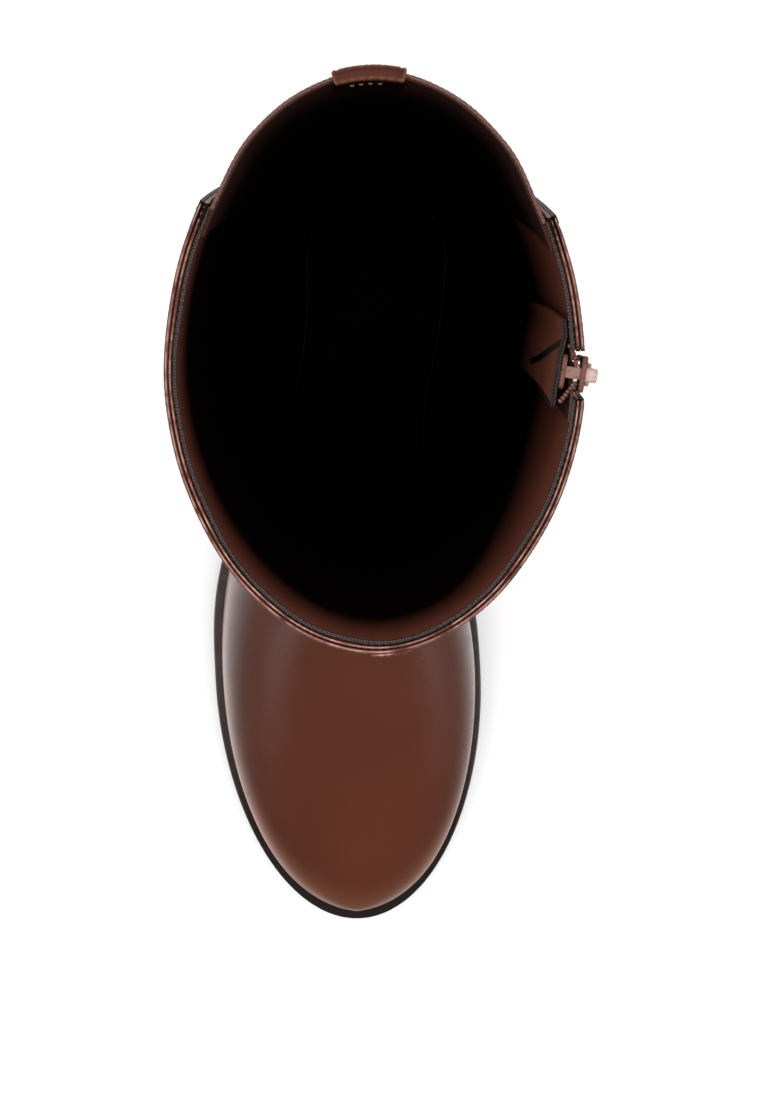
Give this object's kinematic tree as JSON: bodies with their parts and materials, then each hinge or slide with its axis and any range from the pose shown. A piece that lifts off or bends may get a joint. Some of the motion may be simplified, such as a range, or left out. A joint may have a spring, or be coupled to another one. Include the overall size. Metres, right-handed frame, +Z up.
{
  "type": "knee-high boot",
  "caption": "Right knee-high riding boot in smooth brown leather, low block heel, inner-side zip, elastic back gore and folded pull tab.",
  "frame": {"origin": "on the floor, under the middle of the heel's flat ground face", "axes": "+Z up the shaft, toe towards -Y, +X towards the inner (medial) side of the foot"},
  "size_m": [0.1138, 0.2812, 0.402],
  "materials": {
    "leather": "smooth semi-gloss brown leather",
    "elastic": "fine ribbed brown elastic",
    "lining": "matt brown lining leather",
    "rubber": "black moulded rubber, matt with a slight sheen",
    "zip_tape": "woven zip tape",
    "zip_coil": "brown nylon coil",
    "metal": "rose copper plated metal"
  },
  "bodies": {
    "boot": {"outsole": "rubber", "heel": "rubber", "heel_top_piece": "rubber", "welt": "rubber", "insole": "lining", "upper": "leather", "gore": "elastic", "pull_tab": "leather", "zip_tape_front": "zip_tape", "zip_tape_back": "zip_tape", "zip_chain": "zip_coil", "zip_guard": "lining", "zip_slider": "metal"},
    "zip_pull": {"zip_pull": "metal"}
  },
  "joints": [
    {"name": "zip_pull_hinge", "type": "hinge", "parent": "boot", "child": "zip_pull", "pos_m": [0.0521, -0.03154, 0.39218], "axis": [-0.1564, -0.9877, 0], "range_deg": [0, 150]}
  ]
}
